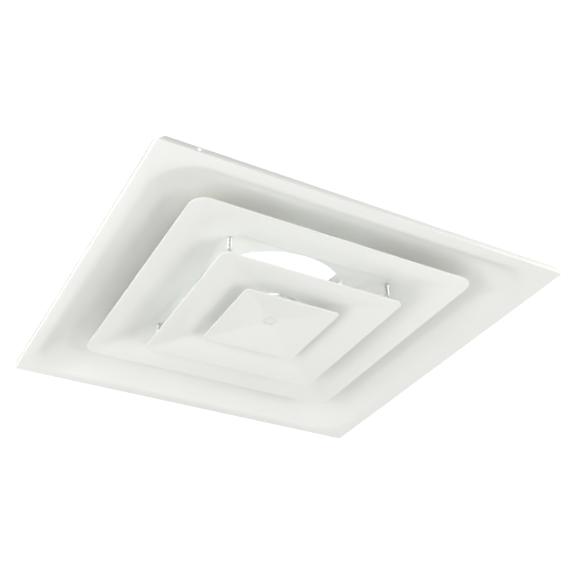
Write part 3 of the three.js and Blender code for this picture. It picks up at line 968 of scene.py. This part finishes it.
def spring_path(bottom, top):
    """The wire's centre line: a bent foot, a tight coil and a bent end the other way."""
    coil_low, coil_high = bottom + COIL_BOTTOM, top - COIL_TOP

    def hook(end, coil_end, side):
        """From the bent end to the coil; side is 1 for the inward foot and -1 for the outward."""
        up = math.copysign(1, coil_end - end)
        foot = [(side * FOOT_LENGTH * out, 0, end + up * rise) for out, rise in FOOT_POINTS]
        # The leg swings out from the axis and round, until it runs along the coil's last turn.
        swing = [
            (0, 0, coil_end - up * LEG_STOP),
            (side * 0.4, -0.4 * up * side, coil_end - up * 1.8),
            (COIL_RADIUS * 0.75, -1.9 * up, coil_end - up * 0.5),
        ]
        return foot + swing

    coil = []
    steps = COIL_TURNS * COIL_STEPS
    for k in range(steps + 1):
        angle = FULL_TURN * k / COIL_STEPS
        z = coil_low + (coil_high - coil_low) * k / steps
        coil.append((COIL_RADIUS * math.cos(angle), COIL_RADIUS * math.sin(angle), z))
    lower = smooth_curve([*hook(bottom, coil_low, 1), coil[0]])
    upper = smooth_curve([*hook(top, coil_high, -1), coil[-1]])
    return np.array([*lower, *coil[1:-1], *upper[::-1]]), coil_low, coil_high


for index, corner in enumerate(CORNERS):
    name = f"spring_{corner}"
    low, high = box_mm(name)
    path, coil_low, coil_high = spring_path(low.z + WIRE_RADIUS, high.z - WIRE_RADIUS)
    piece = swept(f"{name}_wire", path, WIRE_RADIUS)
    axis = spring_axis(corner)
    inward = Matrix.Rotation(math.pi / 4 + index * QUARTER_TURN, 4, "Z")
    piece.data.transform(Matrix.Translation((axis.x * MM, axis.y * MM, 0)) @ inward)
    settle(piece, name, None, spring_wire)
    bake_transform(piece)

# ---- access plug ----

PLUG_HOLE_RADIUS = 8.3
PLUG_STEPS = 64             # steps round the plug
PLUG_HEAD_HEIGHT = 1.4
PLUG_HEAD_STEPS = 14
PLUG_DOME_SHARE = 0.45      # of the head's height that is a plain dome; the rest is a rolled edge
PLUG_WALL = 1.2
PLUG_FILLET = 0.4
PLUG_SLOT_WIDTH = 1.6
PLUG_SLOT_START = 1.2       # above the head's seat

# The barb's outline: how far it stands out from the stem, and how far below the stem's end.
PLUG_BARB = ((0.0, 3.2), (0.25, 2.6), (-0.5, 0.3), (-0.8, 0.0))

plug_low, plug_high = box_mm("access_plug")
plug_seat = plug_low.z + PLUG_HEAD_HEIGHT
plug_radius = plug_high.x
stem_radius = PLUG_HOLE_RADIUS - WELD_GAP


def plug_head():
    """The head's outline, from the middle of its face to its upper edge."""
    points = []
    for angle in np.linspace(-QUARTER_TURN, 0, PLUG_HEAD_STEPS + 1):
        radius = plug_radius * math.cos(angle)
        dome = PLUG_DOME_SHARE * (1 + math.sin(angle))
        edge = (1 - PLUG_DOME_SHARE) * (radius / plug_radius) ** 4
        points.append((radius, plug_low.z + PLUG_HEAD_HEIGHT * min(dome + edge, 1)))
    return points


plug_outline = [
    *plug_head(),
    (stem_radius, plug_seat),
    *((stem_radius + out, plug_high.z - down) for out, down in PLUG_BARB),
    (stem_radius - PLUG_WALL, plug_high.z),
    (stem_radius - PLUG_WALL, plug_seat + PLUG_FILLET),
    (stem_radius - PLUG_WALL - PLUG_FILLET, plug_seat),
    (0, plug_seat),
]
plug = turned("plug_cap", plug_outline, PLUG_STEPS)
slot_half = PLUG_SLOT_WIDTH / 2
slot_low = plug_seat + PLUG_SLOT_START
slot_high = plug_high.z + CUT_MARGIN
slot_outline = [
    (-slot_half, slot_low), (slot_half, slot_low), (slot_half, slot_high), (-slot_half, slot_high)
]
reach = plug_radius + CUT_MARGIN
cut(plug, [block("cutter", slot_outline, -reach, reach, turn_about_z(k)) for k in (0, 1)])
settle(plug, "access_plug", PLUG_BODY, plug_plastic)

# ---- floor, light and camera ----

FLOOR_Z = -1.5              # in metres, as everything in this section
FLOOR_SIZE = 30.0
FLOOR_GLOW = 0.72           # keeps the floor pale to the camera; it doesn't light the diffuser
BACKDROP_STRENGTH = 1.08    # of the white surround as the camera sees it
FILL_STRENGTH = 0.26        # of the same surround as a light

# Soft round lamps: azimuth round from the front, elevation, power in watts, colour, and whether
# they leave the back pan out or light nothing else. The duct's lamps shine in through the neck and
# would flood the pan's top, so the pan has lamps of its own. One of these also lights its recess up
# to the outer cone's rim, because only the pan itself casts shadows in it.
Lamp = namedtuple("Lamp", "name azimuth elevation power colour pan_link")
LAMP_DISTANCE = 1.3         # metres from the point they all aim at
LAMP_SIZE = 0.9
LAMP_AIM = Vector((0, 0, 0.04))
COOL = (0.924, 0.971, 1.0)
WARM = (1.0, 0.99, 0.957)
LAMPS = (
    Lamp("duct_back", 180, 45, 15.6, COOL, "EXCLUDE"),
    Lamp("duct_right", 45, 62, 11.0, COOL, "EXCLUDE"),
    Lamp("left_back", -135, -30, 3.9, WARM, "EXCLUDE"),
    Lamp("left", -90, -30, 4.0, WARM, "EXCLUDE"),
    Lamp("left_front", -45, -12, 4.8, WARM, "EXCLUDE"),
    Lamp("right_front", 45, -30, 6.8, WARM, "EXCLUDE"),
    Lamp("right_back", 135, -12, 2.1, WARM, "EXCLUDE"),
    Lamp("pan_top_right", 45, 45, 2.6, WARM, "INCLUDE"),
    Lamp("pan_top_back", 160, 55, 10.0, WARM, "INCLUDE"),
    Lamp("pan_left_back", -135, -30, 3.4, WARM, "INCLUDE"),
    Lamp("pan_left", -90, -12, 8.6, WARM, "INCLUDE"),
    Lamp("pan_right_front", 45, -12, 9.3, WARM, "INCLUDE"),
    Lamp("pan_right_back", 135, -30, 2.1, WARM, "INCLUDE"),
    Lamp("pan_recess", -45, -30, 4.0, WARM, "INCLUDE"),
)
RECESS_LAMP = "pan_recess"  # the one that nothing but the pan shades

CAMERA_AZIMUTH = -29.069    # degrees round from the front, towards the left
CAMERA_ELEVATION = -33.577  # below the face, looking up
CAMERA_DISTANCE = 1.35402
CAMERA_ROLL = -1.273
CAMERA_TARGET = (-0.02235, -0.09799)
CAMERA_LENS = 60.214
CAMERA_SENSOR = 36.0

floor_mesh = bpy.data.meshes.new("floor")
edge = FLOOR_SIZE / 2
floor_mesh.from_pydata(
    [(-edge, -edge, FLOOR_Z), (edge, -edge, FLOOR_Z), (edge, edge, FLOOR_Z), (-edge, edge, FLOOR_Z)],
    [],
    [(0, 1, 2, 3)],
)
floor = bpy.data.objects.new("floor", floor_mesh)
bpy.context.scene.collection.objects.link(floor)
floor_look = Look("floor_paint")
floor_clouds = floor_look.noise(per_metre=2.0)
floor_paint = floor_look.mixed(floor_clouds, (0.90, 0.90, 0.90), (0.93, 0.93, 0.93))
seen_by_camera = floor_look.nodes.new("ShaderNodeLightPath").outputs["Is Camera Ray"]
floor_look.set(
    Base_Color=floor_paint,
    Roughness=0.9,
    Emission_Color=floor_paint,
    Emission_Strength=floor_look.ranged(seen_by_camera, WHOLE, (0.0, FLOOR_GLOW)),
)
floor.data.materials.append(floor_look.material)

world = bpy.data.worlds.new("studio")
world.use_nodes = True
sky = world.node_tree.nodes["Background"]
sky.inputs["Color"].default_value = (1.0, 1.0, 1.0, 1.0)
ray = world.node_tree.nodes.new("ShaderNodeLightPath")
strength = world.node_tree.nodes.new("ShaderNodeMapRange")
strength.inputs["To Min"].default_value = FILL_STRENGTH
strength.inputs["To Max"].default_value = BACKDROP_STRENGTH
world.node_tree.links.new(ray.outputs["Is Camera Ray"], strength.inputs["Value"])
world.node_tree.links.new(strength.outputs["Result"], sky.inputs["Strength"])
bpy.context.scene.world = world
bpy.context.scene.view_settings.view_transform = "Standard"


def direction_from(azimuth, elevation):
    """The unit vector towards a place round from the front and up, both in degrees."""
    azimuth, elevation = math.radians(azimuth), math.radians(elevation)
    return Vector((
        math.sin(azimuth) * math.cos(elevation),
        -math.cos(azimuth) * math.cos(elevation),
        math.sin(elevation),
    ))


def add_lamp(lamp):
    """Hangs a lamp, and tells it which of the pieces it lights."""
    light_data = bpy.data.lights.new(lamp.name, "AREA")
    light_data.shape = "DISK"
    light_data.size = LAMP_SIZE
    light_data.energy = lamp.power
    light_data.color = lamp.colour
    light = bpy.data.objects.new(lamp.name, light_data)
    outward = direction_from(lamp.azimuth, lamp.elevation)
    light.location = LAMP_AIM + outward * LAMP_DISTANCE
    light.rotation_mode = "QUATERNION"
    light.rotation_quaternion = outward.to_track_quat("Z", "Y")
    light.visible_camera = False
    bpy.context.scene.collection.objects.link(light)
    pan_group = bpy.data.collections.new(f"pan_for_{lamp.name}")
    pan_group.objects.link(pan)
    pan_group.collection_objects[0].light_linking.link_state = lamp.pan_link
    light.light_linking.receiver_collection = pan_group
    if lamp.name == RECESS_LAMP:
        light.light_linking.blocker_collection = pan_group


for lamp in LAMPS:
    add_lamp(lamp)

camera_data = bpy.data.cameras.new("camera")
camera_data.lens = CAMERA_LENS
camera_data.sensor_width = CAMERA_SENSOR
camera = bpy.data.objects.new("camera", camera_data)
bpy.context.scene.collection.objects.link(camera)
back = direction_from(CAMERA_AZIMUTH, CAMERA_ELEVATION)
camera.location = Vector((*CAMERA_TARGET, FACE_Z * MM)) + back * CAMERA_DISTANCE
camera.rotation_mode = "QUATERNION"
roll = Quaternion((0, 0, 1), math.radians(CAMERA_ROLL))
camera.rotation_quaternion = (-back).to_track_quat("-Z", "Y") @ roll
bpy.context.scene.camera = camera
